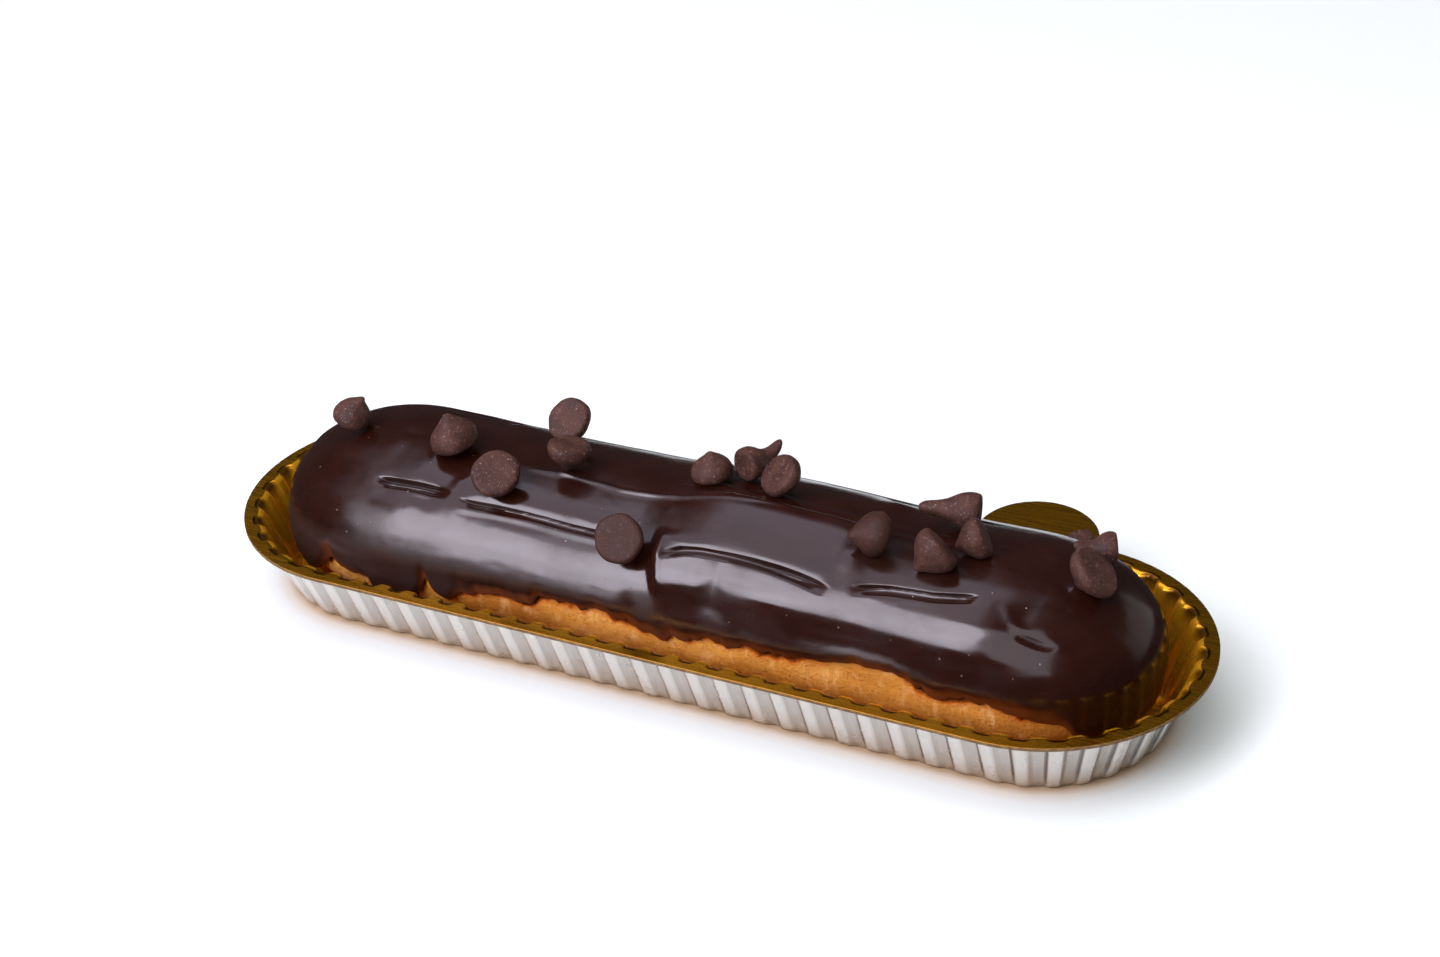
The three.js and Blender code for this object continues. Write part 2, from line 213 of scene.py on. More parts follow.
def gold_foil(tree):
    """Aluminium foil under a gold lacquer: it mirrors in deep amber, with fine scratches along the
    roll that are rubbed brown, and slow patches where the lacquer is duller. Painted shade darkens
    the mouths of the pleats."""
    place = add(tree, "TexCoord").outputs["Object"]
    rolled = add(tree, "Mapping", {
        "Vector": place, "Rotation": (0, 0, 0.12), "Scale": (1 / 22, 1, 1),
    })
    # Real scratches are finer than a tenth of this, and are drawn as coarse as they need to show.
    scratches = add(tree, "TexNoise", {
        "Vector": rolled, "Scale": every(0.5), "Detail": 3, "Roughness": 0.6,
    })
    dents = add(tree, "TexNoise", {"Vector": place, "Scale": every(3.0), "Roughness": 0.4})
    patches = add(tree, "TexNoise", {"Vector": place, "Scale": every(7), "Detail": 3})
    # Painted shade in the mouths of the pleats.
    painted_recess_shade = add(tree, "Attribute", attribute_name="painted_recess_shade").outputs["Fac"]
    rub = add(tree, "MapRange", [scratches, 0.56, 0.7, 0, 0.45])
    rubbed = add(tree, "Mix", [rub, "#f8b024", "#9a5e0a"], data_type="RGBA")
    dull = add(tree, "MapRange", [patches, 0.35, 0.7, 0, 0.35])
    toned = add(tree, "Mix", [dull, rubbed, "#e09018"], data_type="RGBA")
    scratched = add(tree, "Bump", {"Height": scratches, "Distance": 0.008 * MM})
    return add(tree, "BsdfPrincipled", {
        "Base Color": add(tree, "Mix", [painted_recess_shade, toned, "#3a1e04"], data_type="RGBA"),
        "Metallic": 1.0,
        "Roughness": add(tree, "MapRange", [scratches, 0.3, 0.75, 0.18, 0.34]),
        "Normal": add(tree, "Bump", {
            "Height": dents, "Distance": 0.03 * MM, "Normal": scratched,
        }),
    })


def gold_foil_in_the_shade(tree):
    """The same foil on the inside of the wall, crumpled by the die, as a less metallic copy: its
    lacquer shows as a soft yellow of its own where there is little to mirror, and painted shade
    darkens the mouths of the pleats."""
    place = add(tree, "TexCoord").outputs["Object"]
    upright = add(tree, "Mapping", {"Vector": place, "Scale": (1, 1, 1 / 3)})
    crumples = add(tree, "TexNoise", {"Vector": upright, "Scale": every(2.0), "Roughness": 0.4})
    # Painted shade in the mouths of the pleats.
    painted_recess_shade = add(tree, "Attribute", attribute_name="painted_recess_shade").outputs["Fac"]
    return add(tree, "BsdfPrincipled", {
        "Base Color": add(tree, "Mix", [painted_recess_shade, "#f6ae22", "#4a2806"], data_type="RGBA"),
        "Metallic": 0.76,
        "Roughness": add(tree, "MapRange", [crumples, 0.3, 0.7, 0.16, 0.3]),
        "Normal": add(tree, "Bump", {"Height": crumples, "Distance": 0.15 * MM}),
    })


def cut_board(tree):
    """Grey-brown board where the knife cut it: matt and fibrous, with no foil on it."""
    place = add(tree, "TexCoord").outputs["Object"]
    fibres = add(tree, "TexNoise", {
        "Vector": place, "Scale": every(0.9), "Detail": 4, "Roughness": 0.6,
    })
    worn = add(tree, "MapRange", [fibres, 0.35, 0.65, 0, 1])
    return add(tree, "BsdfPrincipled", {
        "Base Color": add(tree, "Mix", [worn, "#7d5f36", "#5f421e"], data_type="RGBA"),
        "Roughness": add(tree, "MapRange", [fibres, 0.3, 0.7, 0.6, 0.8]),
        "Normal": add(tree, "Bump", {"Height": fibres, "Distance": 0.03 * MM}),
    })


# The tray's materials, and the place of each in their list.
SILVER, GOLD, CUT, SHADED = range(4)
tray_materials = [
    surface("silver_aluminium_foil", silver_foil),
    surface("gold_aluminium_foil", gold_foil),
    surface("cut_board_edge", cut_board),
    surface("gold_foil_in_the_shade", gold_foil_in_the_shade),
]


def tray_mesh():
    """The boat as one sheet, from the middle of its underside out and over the rim to the middle
    of its floor."""
    rng = np.random.default_rng(4)
    fold_shares, fold_offsets, fold_shadows = zip(*PLEAT_FOLD)

    def shares(pleats):
        return [(pleat + share) / pleats for pleat in range(pleats) for share in fold_shares]

    core, nx, ny = walk(TRAY_HALF_CORE, shares(PLEATS_PER_SIDE), shares(PLEATS_PER_END))
    pleats = 2 * (PLEATS_PER_SIDE + PLEATS_PER_END)
    fold = np.tile(fold_offsets, pleats)
    fold_shadow_amount = np.tile(fold_shadows, pleats)
    depth = np.repeat(rng.uniform(0.85, 1.08, pleats), len(PLEAT_FOLD))

    def outer(z):
        return FOOT_RADIUS + WALL_SLOPE * (z - FOOT_ROUND)

    def inner(z):
        return outer(z) - BOARD

    # Each ring as radius, height, how deep its pleats are, and the material up to the next. Where
    # the boat rests on its foot, the foil has worn through to the board.
    mouth = inner(RIM_Z)
    profile = [
        (0, 0, 0, SILVER), (9, 0, 0, SILVER), (16.9, 0, 0.15, CUT), (17.5, 0.12, 0.25, SILVER),
        (18.0, 0.62, 0.4, SILVER), (FOOT_RADIUS, FOOT_ROUND, 0.55, SILVER),
    ]
    profile += [(outer(z), z, PLEAT_DEPTH, SILVER) for z in (3, 5, 7, 9, 10.3, 10.8)]
    profile += [
        (22.0, RIM_UNDERSIDE, 0.6, SILVER), (22.2, RIM_UNDERSIDE, 0.5, SILVER),
        (22.8, RIM_UNDERSIDE, 0.05, SILVER), (23.9, RIM_UNDERSIDE, 0, SILVER),
        (RIM_RADIUS - 0.03, RIM_UNDERSIDE, 0, CUT), (RIM_RADIUS, 11.03, 0, CUT),
        (RIM_RADIUS, 11.44, 0, CUT), (RIM_RADIUS - 0.03, RIM_Z, 0, GOLD), (23.88, RIM_Z, 0, GOLD),
        (23.3, RIM_Z, 0, GOLD), (22.9, RIM_Z, 0.1, GOLD), (mouth + 1.05, RIM_Z, 0.35, GOLD),
        (mouth + 0.85, RIM_Z, 0.4, GOLD), (mouth + 0.66, RIM_Z, 0.45, GOLD),
        (mouth + 0.52, 11.48, 0.5, SHADED), (mouth + 0.26, 11.38, 0.65, SHADED),
        (inner(11.2) + 0.08, 11.18, PLEAT_DEPTH, SHADED),
    ]
    profile += [(inner(z), z, PLEAT_DEPTH, SHADED) for z in (10.9, 9, 7, 5, 3, 1.8)]
    profile += [
        (inner(1.8) - 0.4, 0.95, 0.7, SHADED), (inner(1.8) - 1.3, BOARD, 0.4, SHADED),
        (9, BOARD, 0, GOLD), (0, BOARD, 0, GOLD),
    ]
    rings = []
    values = {"crease": [], "fold": [], "painted_recess_shade": []}
    for radius, z, pleat, coat in profile:
        out = radius + fold * depth * pleat / 2
        ring = np.stack([core + nx * out, ny * out, np.full_like(core, z)], axis=-1)
        if pleat > 0.3:
            dent = (0.09 if coat == SHADED else 0.03) * lumps(ring, 2.4, 1)
            ring[:, 0] += nx * dent
            ring[:, 1] += ny * dent
        rings.append(ring)
        full = min(pleat / PLEAT_DEPTH, 1)
        values["crease"].append(fold_shadow_amount * full)
        values["fold"].append(fold * full)
        # Inside, the mouth of each pleat gets painted shade, dark where the light does not reach.
        inside = coat in (GOLD, SHADED) and radius < mouth + 0.9
        values["painted_recess_shade"].append(smooth(fold, -0.5, 0.4) * smooth(z, 9, 11) * 0.9 * inside)
    bands = [coat for *_, coat in profile[:-1]]
    return skinned("tray_boat", rings, tray_materials, bands, values)


def tab_mesh():
    """The half disc that is left standing out behind the rim, bowed up a little by its cutting."""
    across = np.linspace(math.pi, 0, 61)

    def arc(share, z):
        x = TAB_X + TAB_RADIUS * share * np.cos(across)
        y = RIM_RADIUS + TAB_RADIUS * share * np.sin(across)
        bow = 0.12 * share * np.sin(across) * (z - 10)
        return np.stack([x, y, z + bow], axis=-1)

    def face(z, rounded_z):
        flat = [arc(share, z) for share in (0, 0.25, 0.5, 0.7, 0.85, 0.95, 0.985)]
        return flat + [arc(1, rounded_z)]

    rows = face(RIM_UNDERSIDE, 11.12) + face(RIM_Z, 11.38)[::-1]
    return skinned("tray_tab", rows, [tray_materials[GOLD]], closed=False)


def tab_score():
    """The scored line at the tab's root, which stands up as a low bead."""
    half = TAB_RADIUS - 0.6
    x = np.linspace(TAB_X - half, TAB_X + half, 60)
    ends = smooth(x, x[0], x[0] + 1) * (1 - smooth(x, x[-1] - 1, x[-1]))
    # Across the bead, as distance from the rim's edge and share of its height. It starts sunk.
    section = [(-0.5, -0.1), (-0.3, 0.6), (-0.18, 0.95), (-0.05, 1.0), (0.1, 0.6), (0.3, -0.1)]
    rows = []
    for y, share in section:
        z = RIM_Z - 0.02 + (share * SCORE_HEIGHT + 0.02) * ends
        rows.append(np.stack([x, RIM_RADIUS + y + 0 * x, z], axis=-1))
    return skinned("tab_score", rows, [tray_materials[GOLD]], closed=False)


boat = tray_mesh()
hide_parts("tray")
for sheet in (boat, tab_mesh(), tab_score()):
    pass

# ---- Choux ----
# A finger of choux paste, piped, baked and filled. Its crust is dry and finely pitted, darker
# where it browned and where the icing has run and soaked in below its edge.

# The outside of the iced finger, as for the tray. END is how far its round ends reach.
CORE = 47.3
MIDDLE_X = -0.5
END = 21.2
HALF_WIDTH = 17.2
WAIST_Z = 11.6
CROWN = 12.5
BELLY = 12.3
# How square its section is above and below the waist. 2 is round.
ROUNDNESS = 2.1
BELLY_ROUNDNESS = 3.2
# How thick the icing is, and how far the crust lies clear below it.
ICING = 1.2
GAP = 0.3
# The second stroke of icing starts at this x on the crown, and leans to the right as it comes
# down, by so many millimetres for each degree below this latitude.
STEP_X = -0.9
STEP_LEAN = 0.075
STEP_TOP = 45
# Where the icing stops, as (x, latitude in degrees), on the front and on the back.
FRONT_EDGE = [
    (-68, -36), (-60, -28), (-57, -14), (-55, -6), (-53.5, -1), (-52, -6), (-49, -7), (-47, -9),
    (-45, -24), (-40, -24), (-38.6, -12), (-36.8, -1), (-35.4, -8), (-33.5, -12), (-31, -5),
    (-28, -3), (-25, -2), (-22, -2.5), (-20, -1.5), (-16, 1), (-10, 1.5), (-4, 0), (0, -1),
    (2, -4), (4, -1), (7, 0), (13, 1), (20, 1), (26, 3), (33, 6), (38, 5), (39.5, 0), (43, -1),
    (50, 0), (55, -1.5), (59, -3), (61, -14), (64, -30), (68, -36),
]
BACK_EDGE = [
    (-68, -36), (-52, -22), (-38, -6), (-22, -14), (-4, 2), (12, -6), (30, 4), (46, -8),
    (60, -28), (68, -36),
]


def through(points, x):
    """A value that runs softly through (position, value) points."""
    xs, ys = np.array(points, float).T
    i = np.clip(np.searchsorted(xs, x) - 1, 0, len(xs) - 2)
    return ys[i] + (ys[i + 1] - ys[i]) * smooth(x, xs[i], xs[i + 1])


def power(value, exponent):
    """A power that keeps the sign of value."""
    return np.sign(value) * np.abs(value) ** exponent


def past_step(x, latitude):
    """How many millimetres a point lies to the right of where the second stroke starts."""
    return x - STEP_X - STEP_LEAN * np.clip(STEP_TOP - latitude, 0, STEP_TOP)


def onset(x, latitude):
    """How far the second stroke of icing has begun, from 0 to 1. It starts sharply on the front,
    and slowly at the foot and over the crown."""
    reach = 0.9 + 3.0 * (1 - smooth(latitude, 6, 24))
    step = smooth(past_step(x, latitude) / reach, -1, 1)
    return step + (smooth(x, -6, 8) - step) * smooth(latitude, 53, 62)


def growth(x, latitude):
    """Slow swelling along the bake, and the second stroke of icing over the first."""
    swell = 0.2 * np.sin(2 * math.pi * x / 55 + 0.5)
    rise = onset(x, latitude) * (1 - smooth(x, 6, 30))
    return swell + 0.35 * rise * smooth(latitude, -5, 20)


def skin(stops, latitude, depth):
    """Points of the eclair's skin in millimetres, sunk by depth below the icing's face. Latitude
    is 0 at the waist and 90 on the crown's middle line."""
    core, nx, ny = stops
    turned = np.radians(latitude)
    below = np.asarray(latitude) < 0
    roundness = np.where(below, BELLY_ROUNDNESS, ROUNDNESS)
    reach = np.maximum(np.cos(turned), 0) ** (2 / roundness)
    rise = power(np.sin(turned), 2 / roundness)
    along = reach * power(nx, 2 / ROUNDNESS)
    side = reach * power(ny, 2 / ROUNDNESS)
    x = MIDDLE_X + core + along * END
    inset = depth - growth(x, latitude) * smooth(latitude, -60, -10)
    height = np.where(below, BELLY, CROWN)
    return np.stack([
        MIDDLE_X + core + along * (END - inset),
        side * (HALF_WIDTH - inset),
        WAIST_Z + rise * (height - inset),
    ], axis=-1)


def edge_latitude(stops):
    """The icing's edge at each stop, with the small lobes of its runs."""
    core, nx, ny = stops
    x = MIDDLE_X + core + nx * END
    share = (1 + ny) / 2
    edge = through(FRONT_EDGE, x) * (1 - share) + through(BACK_EDGE, x) * share
    place = np.stack([x, 40 * ny, 0 * x], axis=-1)
    return edge + 1.6 * lumps(place, 2.6, 3) + 1.2 * lumps(place, 1.1, 5)


def baked_choux(tree):
    """Baked choux crust: golden and matt, browned in slow patches, with fine dark pores and paler
    streaks where it split as it rose. Where icing soaked in it turns dark, smooth and moist."""
    place = add(tree, "TexCoord").outputs["Object"]
    along = add(tree, "Mapping", {"Vector": place, "Scale": (1 / 2, 1, 1)})
    upright = add(tree, "Mapping", {"Vector": place, "Scale": (1, 1, 1 / 3)})
    browned = add(tree, "TexNoise", {
        "Vector": along, "Scale": every(9), "Detail": 4, "Roughness": 0.55,
    })
    pores = add(tree, "TexNoise", {
        "Vector": place, "Scale": every(0.45), "Detail": 3, "Roughness": 0.6,
    })
    streaks = add(tree, "TexNoise", {
        "Vector": upright, "Scale": every(1.6), "Detail": 4, "Roughness": 0.6,
    })
    flecks = add(tree, "TexNoise", {
        "Vector": place, "Scale": every(0.9), "Detail": 4, "Roughness": 0.7,
    })
    stain = add(tree, "Attribute", attribute_name="stain").outputs["Fac"]
    crust = add(tree, "ValToRGB", [browned], stops=[
        (0.3, "#d7a050"), (0.5, "#c98b33"), (0.68, "#b07020"),
    ])
    pored = add(tree, "MapRange", [pores, 0.58, 0.70, 0, 0.5])
    speckled = add(tree, "Mix", [pored, crust, "#84490f"], data_type="RGBA")
    flecked = add(tree, "MapRange", [flecks, 0.54, 0.7, 0, 0.6])
    mottled = add(tree, "Mix", [flecked, speckled, "#a05a16"], data_type="RGBA")
    split = add(tree, "MapRange", [streaks, 0.32, 0.48, 0.6, 0])
    streaked = add(tree, "Mix", [split, mottled, "#e6b878"], data_type="RGBA")
    soaked = add(tree, "ValToRGB", [stain], stops=[
        (0.35, "#b8620e"), (0.7, "#5f2a05"), (0.95, "#200b02"),
    ])
    wet = add(tree, "MapRange", [stain, 0.0, 0.4, 0, 1])
    pitted = add(tree, "Bump", {"Height": pores, "Distance": 0.10 * MM})
    grained = add(tree, "Bump", {"Height": flecks, "Distance": 0.18 * MM, "Normal": pitted})
    return add(tree, "BsdfPrincipled", {
        "Base Color": add(tree, "Mix", [wet, streaked, soaked], data_type="RGBA"),
        "Roughness": add(tree, "MapRange", [stain, 0.2, 0.8, 0.62, 0.24]),
        "Subsurface Weight": 0.15,
        "Subsurface Radius": (0.6, 0.25, 0.08),
        "Subsurface Scale": 1.2 * MM,
        "Normal": add(tree, "Bump", {
            "Height": streaks, "Distance": 0.16 * MM, "Normal": grained,
        }),
    })


def choux_mesh():
    """The whole finger, with close rows where it stands bare of icing."""
    stops = walk(CORE, np.arange(150) / 150, np.arange(64) / 64)
    bare = np.linspace(-74, 12, 84)
    rows = np.concatenate([[-90, -86, -80], bare, [18, 26, 36, 48, 60, 72, 82, 90]])
    edge = edge_latitude(stops)
    rings = []
    stain = []
    for latitude in rows:
        flat = skin(stops, latitude, ICING + GAP)
        open_air = 1 - smooth(latitude, edge - 6, edge)
        lumpy = 0.18 * lumps(flat, 6.0, 2) + 0.14 * lumps(flat * (1, 1, 0.5), 1.7, 6)
        depth = ICING + GAP - lumpy * open_air
        rings.append(skin(stops, latitude, depth))
        soak = edge - latitude - 3.0 * lumps(flat, 4.0, 8) - 2.0 * lumps(flat, 1.2, 9)
        stain.append(1 - smooth(soak, -1, 5))
    baked = surface("baked_choux", baked_choux)
    return skinned("choux_shell", rings, [baked], values={"stain": stain})


choux = choux_mesh()
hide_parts("choux")

# ---- Chocolate icing ----
# Dark chocolate fondant laid on in two strokes of a spatula and left to set. The strokes left
# creases with soft lips along the front of the crown and a step where the second one starts, and
# the edge ran down over the choux in lobes that thin out to brown.

# Folds as their points (x, latitude on the front), how wide and deep they are, how high the
# stroke above stands over them, and how deep the trough below their lower lip is.
FOLDS = [
    ([(-47.5, 51.5), (-44, 52.5), (-40, 53), (-37, 52.8), (-34.6, 51.8)], 1.2, 0.68, 0.5, 0.5),
    ([(-33.4, 50.6), (-31, 50.0), (-27, 50.8), (-23, 51), (-19, 50.6), (-15, 49.7), (-10, 49.4),
      (-5, 49.5)], 0.9, 0.58, 0.6, 0.5),
    ([(1.0, 42), (1.6, 46), (3.5, 49.3), (6, 50.8), (10, 51.3), (14, 51.2), (18, 50.2),
      (21, 48.8), (24, 46.6), (25.8, 45)], 1.05, 0.64, 0.5, 0.0),
    ([(28.3, 48.3), (31, 51), (34, 53.2), (37, 54), (40, 54.6), (42.5, 56.2), (46.5, 59)],
     1.0, 0.66, 0.35, 0.2),
    ([(51.2, 44.6), (53, 41.6), (55, 38.6), (57.6, 34.8)], 0.75, 0.32, 0.5, 0.0),
]
FOLD_END = 3.0
# Across a fold, as (distance above its middle in millimetres, slope of the face). GROOVE is for a
# fold one millimetre wide, and as deep as GROOVE_DEPTH.
GROOVE_DEPTH = 0.75
TROUGH = [(-3.6, 0), (-2.9, -0.16), (-2.0, -0.12), (-1.6, 0.12), (-1.2, 0.22), (-0.9, 0)]
GROOVE = [(-1.0, 0), (-0.8, -0.85), (0.33, -0.9), (0.37, 2.4), (0.64, 2.4), (0.8, 0)]
OVERLAP = [
    (0.6, 0), (0.85, 0.7), (1.2, 0.45), (1.9, 0.22), (2.5, 0), (3.4, -0.11), (6.0, -0.09), (7.5, 0),
]
# Up the front, as (latitude, height gained for each degree): the foot of the second stroke, and
# its crown where the spatula left it flat and where it falls off.
SECOND_FOOT = [(14, 0), (20, 0.05), (31, 0.075), (36, 0.01), (46, 0.025), (50, 0)]
FLAT_CROWN = [(56, 0), (60, 0.03), (78, 0.03), (82, 0)]
FALLING_CROWN = [(58, 0), (62, -0.02), (74, -0.02), (78, 0)]
# Ridges as their points, how high they stand and how wide they are.
RIDGES = [
    ([(-26, 81), (-19, 81.5), (-14, 80), (-10, 78.5), (-5, 79.3), (0, 80), (5, 82), (12, 84.5),
      (17, 85)], 0.42, 0.42),
    ([(49.5, 62), (49.8, 56), (50.8, 51), (52.5, 46), (55, 42)], 0.46, 0.66),
]


def front_point(x, latitude):
    """A point on the front of the icing's plain face."""
    lift = math.sin(math.radians(latitude)) ** 2
    past = (max(abs(x - MIDDLE_X) - CORE, 0) / END) ** ROUNDNESS
    side = max(1 - lift - past, 0) ** (1 / ROUNDNESS)
    return (x, -HALF_WIDTH * side, WAIST_Z + CROWN * lift ** (1 / ROUNDNESS))


def near_line(points, line):
    """Signed distance from a line over the skin, positive above it, and how far along it."""
    best = np.full(points.shape[:-1], 1e9)
    side = np.zeros_like(best)
    run = np.zeros_like(best)
    travelled = 0.0
    for start, stop in zip(line[:-1], line[1:]):
        start, stop = np.array(start), np.array(stop)
        step = stop - start
        length = np.linalg.norm(step)
        share = np.clip(((points - start) @ step) / length ** 2, 0, 1)
        offset = points - start - share[..., None] * step
        distance = np.linalg.norm(offset, axis=-1)
        nearer = distance < best
        best = np.where(nearer, distance, best)
        side = np.where(nearer, np.sign(offset[..., 2]), side)
        run = np.where(nearer, travelled + share * length, run)
        travelled += length
    return best * side, run, travelled


def fine_line(points):
    """The line through (x, latitude) points as closely spaced points on the icing's face."""
    xs, latitudes = np.array(points, float).T
    place = np.linspace(0, 1, len(xs))
    even = np.linspace(0, 1, 8 * len(xs))
    closer = zip(np.interp(even, place, xs), np.interp(even, place, latitudes))
    return [front_point(x, latitude) for x, latitude in closer]


def bell(value, middle, width):
    """1 at the middle, falling softly to both sides over about the width."""
    return np.exp(-((value - middle) / width) ** 2)


def climb(slopes, value):
    """Height gained at value along (position, slope) pairs, with the slope even between them."""
    places, steepness = np.array(slopes, float).T
    fine = np.linspace(places[0], places[-1], 500)
    slope = np.interp(fine, places, steepness)
    gained = np.concatenate([[0], np.cumsum((slope[1:] + slope[:-1]) / 2 * np.diff(fine))])
    return np.interp(value, fine, gained)


def strokes(points, latitude):
    """Height of the spatula's marks over the icing's plain face in millimetres, and where the
    bottom of a fold runs, from 0 to 1."""
    x, y = points[..., 0], points[..., 1]
    latitude = latitude + 0 * x
    height = np.zeros(x.shape)
    seam = np.zeros(x.shape)
    for line, width, depth, overlap, trough in FOLDS:
        off, run, length = near_line(points, fine_line(line))
        ends = smooth(run, 0, FOLD_END) * (1 - smooth(run, length - FOLD_END, length))
        groove = depth / GROOVE_DEPTH * width * climb(GROOVE, off / width)
        height += ends * (groove + overlap * climb(OVERLAP, off) + trough * climb(TROUGH, off))
        seam = np.maximum(seam, ends * bell(off, 0.35 * width, 0.2))
    for line, ridge, width in RIDGES:
        off, run, length = near_line(points, fine_line(line))
        ends = smooth(run, 0, 6) * (1 - smooth(run, length - 8, length))
        height += ridge * bell(off, 0, width) * ends
    front = smooth(-y, -2.5, 1.5)
    # The first stroke lies heavy at its foot, and thins out towards the left end.
    first = front * (1 - smooth(x, -6, -2))
    height += 0.34 * bell(latitude, 7, 9) * smooth(x, -56, -44) * first
    height -= 0.5 * (1 - smooth(x, -54, -40)) * first * smooth(latitude, -4, 6)
    # The second one stands over it by a step with a thin ridge.
    second = onset(x, latitude) * (1 - smooth(x, 44, 56)) * front
    hang = latitude + 2.5 * bell(x, 1.5, 2.5) - 4 * bell(x, 9.5, 2) + 3 * smooth(x, 27, 42)
    foot = climb(SECOND_FOOT, hang) - 0.38 * smooth(latitude, 4, 26)
    by_top = 1 - 0.8 * smooth(latitude, 84, 92)
    height += second * foot * by_top
    lip = bell(past_step(x, latitude), 1.1, 0.55)
    height += 0.13 * lip * bell(latitude, 42, 14) * front
    # Its crown lies flat up to where the spatula left it, and then falls off to the right.
    flat = climb(FLAT_CROWN, latitude) * (1 - smooth(x, 22, 33))
    crown = flat + climb(FALLING_CROWN, latitude) * smooth(x, 26, 36)
    height += front * onset(x, latitude) * crown * by_top
    # It bulges between one fold and the next, and the spatula's edge has nicked its flank.
    height += 0.55 * bell(x, 27.2, 2.4) * bell(latitude, 65, 8)
    height += 0.26 * bell(x, -33.9, 1.2) * bell(latitude, 60.5, 4.5)
    flank = bell(latitude, 39, 8) * front
    height -= (0.04 * bell(x, 6.6, 0.35) + 0.07 * bell(x, 9.8, 0.55)) * flank
    return height, seam


def flow(points):
    """The slow unevenness of set icing, in millimetres."""
    slow = 0.14 * lumps(points, 21.0, 11) + 0.08 * lumps(points * (1, 0.6, 0.6), 6.5, 12)
    dragged = 0.014 * lumps(points * (0.25, 1, 1), 1.3, 15)
    return slow + 0.016 * lumps(points, 2.2, 13) + dragged


def packed_chips():
    """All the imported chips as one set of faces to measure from."""
    corners = []
    faces = []
    for name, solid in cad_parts.items():
        if name.startswith("chip"):
            first = len(corners)
            corners += [v.co / MM for v in solid.data.vertices]
            faces += [[first + i for i in f.vertices] for f in solid.data.polygons]
    return BVHTree.FromPolygons(corners, faces)


def drawn_up(points, chips):
    """Height of the icing drawn up round each chip, in millimetres."""
    rise = np.zeros(len(points))
    for i, point in enumerate(points.tolist()):
        nearest, _, _, distance = chips.find_nearest(point, 1.7)
        if nearest is not None:
            rise[i] = 0.26 * (1 - float(smooth(distance, 0.25, 1.6)))
    return rise


def set_chocolate_icing(tree):
    """Chocolate fondant set to a skin of sugar and fat: near black and glossy, with a haze that
    blurs its sheen in patches. It is matt along its foot and brown where its edge thins out."""
    place = add(tree, "TexCoord").outputs["Object"]
    dragged = add(tree, "Mapping", {"Vector": place, "Scale": (1 / 5, 1, 1)})
    along = add(tree, "Mapping", {"Vector": place, "Scale": (1 / 1.6, 1, 1)})
    mottle = add(tree, "TexNoise", {"Vector": place, "Scale": every(4.5), "Detail": 3})
    drag = add(tree, "TexNoise", {"Vector": dragged, "Scale": every(1.2), "Detail": 3})
    haze = add(tree, "TexNoise", {
        "Vector": along, "Scale": every(7), "Detail": 3, "Roughness": 0.55,
    })
    # Real grains of sugar are a twentieth of this, and are drawn as coarse as they need to show.
    sugar = add(tree, "TexNoise", {"Vector": place, "Scale": every(0.35)})
    thin = add(tree, "Attribute", attribute_name="thin").outputs["Fac"]
    matt = add(tree, "Attribute", attribute_name="matt").outputs["Fac"]
    mottled = add(tree, "MapRange", [mottle, 0.35, 0.65, 0, 1])
    body = add(tree, "Mix", [mottled, "#1e0a05", "#240d07"], data_type="RGBA")
    smeared = add(tree, "MapRange", [drag, 0.3, 0.7, 0.12, 0.18])
    hazed = add(tree, "MapRange", [haze, 0.42, 0.66, 0, 0.16])
    dulled = add(tree, "MapRange", [matt, 0, 1, 0, 0.4])
    sheen = add(tree, "Math", [smeared, hazed], operation="ADD")
    grained = add(tree, "Bump", {"Height": sugar, "Distance": 0.003 * MM})
    return add(tree, "BsdfPrincipled", {
        "Base Color": add(tree, "Mix", [thin, body, "#572807"], data_type="RGBA"),
        "Roughness": add(tree, "Math", [sheen, dulled], operation="ADD"),
        "IOR": 1.48,
        "Normal": add(tree, "Bump", {
            "Height": drag, "Distance": 0.006 * MM, "Normal": grained,
        }),
    })


